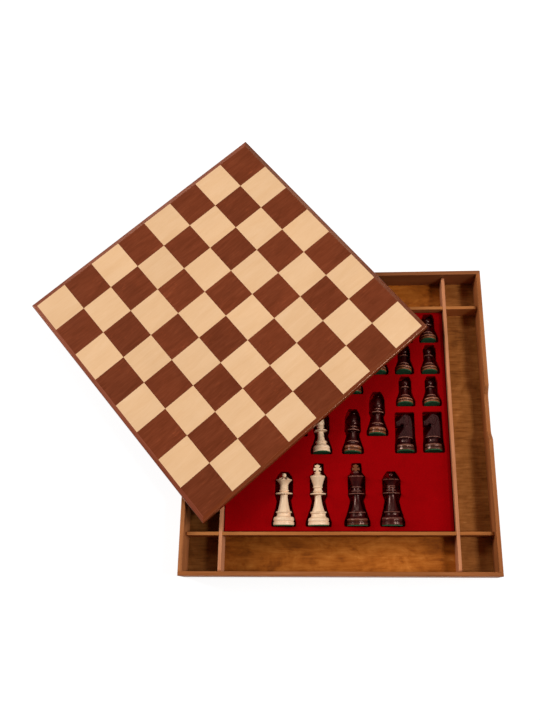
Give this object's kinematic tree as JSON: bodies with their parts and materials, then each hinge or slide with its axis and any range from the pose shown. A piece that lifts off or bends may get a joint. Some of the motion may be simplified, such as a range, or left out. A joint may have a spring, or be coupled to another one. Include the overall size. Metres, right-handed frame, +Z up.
{
  "type": "chess box",
  "caption": "Square wooden chess box with a lift-off playing board as its lid, open compartments round a cut-out felt tray, and turned chessmen lying in it.",
  "frame": {"origin": "centre of the underside of the box, on the surface it stands on", "axes": "+Z up out of the open box, +X towards the right wall, +Y towards the back wall; the playing board lies turned about +Z across the rim"},
  "size_m": [0.6243, 0.6093, 0.0541],
  "materials": {
    "wall_wood": "satin stained hardwood, grain along the wall",
    "floor_ply": "satin stained plywood",
    "divider_wood": "satin stained hardwood, grain along the slat",
    "tray_board": "red flocked board",
    "tray_foam": "red flocked foam",
    "tray_felt": "red felt with a fine nap",
    "lid_core": "fibreboard core",
    "lid_back": "satin veneer",
    "light_veneer": "satin lacquered pale maple veneer",
    "dark_veneer": "satin lacquered sapele veneer, ribbon grain along one way",
    "lipping": "satin lacquered solid edge",
    "pale_men": "satin turned boxwood, green felt under the base",
    "dark_men": "semi-gloss dark stained turned wood, green felt under the base"
  },
  "bodies": {
    "box": {"front_wall": "wall_wood", "back_wall": "wall_wood", "left_wall": "wall_wood", "right_wall": "wall_wood", "base_panel": "floor_ply", "left_divider": "divider_wood", "right_divider": "divider_wood", "front_divider": "divider_wood", "back_divider": "divider_wood", "tray_backing": "tray_board", "tray_foam": "tray_foam", "tray_felt": "tray_felt"},
    "lid": {"lid_core": "lid_core", "lid_back_veneer": "lid_back", "light_squares": "light_veneer", "dark_squares": "dark_veneer", "lid_lipping_south_east": "lipping", "lid_lipping_north_east": "lipping", "lid_lipping_north_west": "lipping", "lid_lipping_south_west": "lipping"},
    "white_king": {"white_king": "pale_men"},
    "white_queen": {"white_queen": "pale_men"},
    "white_bishop_1": {"white_bishop_1": "pale_men"},
    "white_bishop_2": {"white_bishop_2": "pale_men"},
    "white_knight_1": {"white_knight_1": "pale_men"},
    "white_knight_2": {"white_knight_2": "pale_men"},
    "white_rook_1": {"white_rook_1": "pale_men"},
    "white_rook_2": {"white_rook_2": "pale_men"},
    "white_pawn_1": {"white_pawn_1": "pale_men"},
    "white_pawn_2": {"white_pawn_2": "pale_men"},
    "white_pawn_3": {"white_pawn_3": "pale_men"},
    "white_pawn_4": {"white_pawn_4": "pale_men"},
    "white_pawn_5": {"white_pawn_5": "pale_men"},
    "white_pawn_6": {"white_pawn_6": "pale_men"},
    "white_pawn_7": {"white_pawn_7": "pale_men"},
    "white_pawn_8": {"white_pawn_8": "pale_men"},
    "black_king": {"black_king": "dark_men"},
    "black_queen": {"black_queen": "dark_men"},
    "black_bishop_1": {"black_bishop_1": "dark_men"},
    "black_bishop_2": {"black_bishop_2": "dark_men"},
    "black_knight_1": {"black_knight_1": "dark_men"},
    "black_knight_2": {"black_knight_2": "dark_men"},
    "black_rook_1": {"black_rook_1": "dark_men"},
    "black_rook_2": {"black_rook_2": "dark_men"},
    "black_pawn_1": {"black_pawn_1": "dark_men"},
    "black_pawn_2": {"black_pawn_2": "dark_men"},
    "black_pawn_3": {"black_pawn_3": "dark_men"},
    "black_pawn_4": {"black_pawn_4": "dark_men"},
    "black_pawn_5": {"black_pawn_5": "dark_men"},
    "black_pawn_6": {"black_pawn_6": "dark_men"},
    "black_pawn_7": {"black_pawn_7": "dark_men"},
    "black_pawn_8": {"black_pawn_8": "dark_men"}
  },
  "joints": [
    {"name": "lid_lift", "type": "slide", "parent": "box", "child": "lid", "axis": [0, 0, 1], "range_m": [0, 0.12]},
    {"name": "white_king_lift", "type": "slide", "parent": "box", "child": "white_king", "axis": [0, 0, 1], "range_m": [0, 0.06]},
    {"name": "white_queen_lift", "type": "slide", "parent": "box", "child": "white_queen", "axis": [0, 0, 1], "range_m": [0, 0.06]},
    {"name": "white_bishop_1_lift", "type": "slide", "parent": "box", "child": "white_bishop_1", "axis": [0, 0, 1], "range_m": [0, 0.0134]},
    {"name": "white_bishop_2_lift", "type": "slide", "parent": "box", "child": "white_bishop_2", "axis": [0, 0, 1], "range_m": [0, 0.0134]},
    {"name": "white_knight_1_lift", "type": "slide", "parent": "box", "child": "white_knight_1", "axis": [0, 0, 1], "range_m": [0, 0.0129]},
    {"name": "white_knight_2_lift", "type": "slide", "parent": "box", "child": "white_knight_2", "axis": [0, 0, 1], "range_m": [0, 0.0129]},
    {"name": "white_rook_1_lift", "type": "slide", "parent": "box", "child": "white_rook_1", "axis": [0, 0, 1], "range_m": [0, 0.0129]},
    {"name": "white_rook_2_lift", "type": "slide", "parent": "box", "child": "white_rook_2", "axis": [0, 0, 1], "range_m": [0, 0.0129]},
    {"name": "white_pawn_1_lift", "type": "slide", "parent": "box", "child": "white_pawn_1", "axis": [0, 0, 1], "range_m": [0, 0.0148]},
    {"name": "white_pawn_2_lift", "type": "slide", "parent": "box", "child": "white_pawn_2", "axis": [0, 0, 1], "range_m": [0, 0.0148]},
    {"name": "white_pawn_3_lift", "type": "slide", "parent": "box", "child": "white_pawn_3", "axis": [0, 0, 1], "range_m": [0, 0.0148]},
    {"name": "white_pawn_4_lift", "type": "slide", "parent": "box", "child": "white_pawn_4", "axis": [0, 0, 1], "range_m": [0, 0.0148]},
    {"name": "white_pawn_5_lift", "type": "slide", "parent": "box", "child": "white_pawn_5", "axis": [0, 0, 1], "range_m": [0, 0.0148]},
    {"name": "white_pawn_6_lift", "type": "slide", "parent": "box", "child": "white_pawn_6", "axis": [0, 0, 1], "range_m": [0, 0.0148]},
    {"name": "white_pawn_7_lift", "type": "slide", "parent": "box", "child": "white_pawn_7", "axis": [0, 0, 1], "range_m": [0, 0.0148]},
    {"name": "white_pawn_8_lift", "type": "slide", "parent": "box", "child": "white_pawn_8", "axis": [0, 0, 1], "range_m": [0, 0.0148]},
    {"name": "black_king_lift", "type": "slide", "parent": "box", "child": "black_king", "axis": [0, 0, 1], "range_m": [0, 0.06]},
    {"name": "black_queen_lift", "type": "slide", "parent": "box", "child": "black_queen", "axis": [0, 0, 1], "range_m": [0, 0.06]},
    {"name": "black_bishop_1_lift", "type": "slide", "parent": "box", "child": "black_bishop_1", "axis": [0, 0, 1], "range_m": [0, 0.06]},
    {"name": "black_bishop_2_lift", "type": "slide", "parent": "box", "child": "black_bishop_2", "axis": [0, 0, 1], "range_m": [0, 0.06]},
    {"name": "black_knight_1_lift", "type": "slide", "parent": "box", "child": "black_knight_1", "axis": [0, 0, 1], "range_m": [0, 0.06]},
    {"name": "black_knight_2_lift", "type": "slide", "parent": "box", "child": "black_knight_2", "axis": [0, 0, 1], "range_m": [0, 0.06]},
    {"name": "black_rook_1_lift", "type": "slide", "parent": "box", "child": "black_rook_1", "axis": [0, 0, 1], "range_m": [0, 0.0129]},
    {"name": "black_rook_2_lift", "type": "slide", "parent": "box", "child": "black_rook_2", "axis": [0, 0, 1], "range_m": [0, 0.0129]},
    {"name": "black_pawn_1_lift", "type": "slide", "parent": "box", "child": "black_pawn_1", "axis": [0, 0, 1], "range_m": [0, 0.06]},
    {"name": "black_pawn_2_lift", "type": "slide", "parent": "box", "child": "black_pawn_2", "axis": [0, 0, 1], "range_m": [0, 0.06]},
    {"name": "black_pawn_3_lift", "type": "slide", "parent": "box", "child": "black_pawn_3", "axis": [0, 0, 1], "range_m": [0, 0.0148]},
    {"name": "black_pawn_4_lift", "type": "slide", "parent": "box", "child": "black_pawn_4", "axis": [0, 0, 1], "range_m": [0, 0.0148]},
    {"name": "black_pawn_5_lift", "type": "slide", "parent": "box", "child": "black_pawn_5", "axis": [0, 0, 1], "range_m": [0, 0.06]},
    {"name": "black_pawn_6_lift", "type": "slide", "parent": "box", "child": "black_pawn_6", "axis": [0, 0, 1], "range_m": [0, 0.0148]},
    {"name": "black_pawn_7_lift", "type": "slide", "parent": "box", "child": "black_pawn_7", "axis": [0, 0, 1], "range_m": [0, 0.0148]},
    {"name": "black_pawn_8_lift", "type": "slide", "parent": "box", "child": "black_pawn_8", "axis": [0, 0, 1], "range_m": [0, 0.0148]}
  ]
}
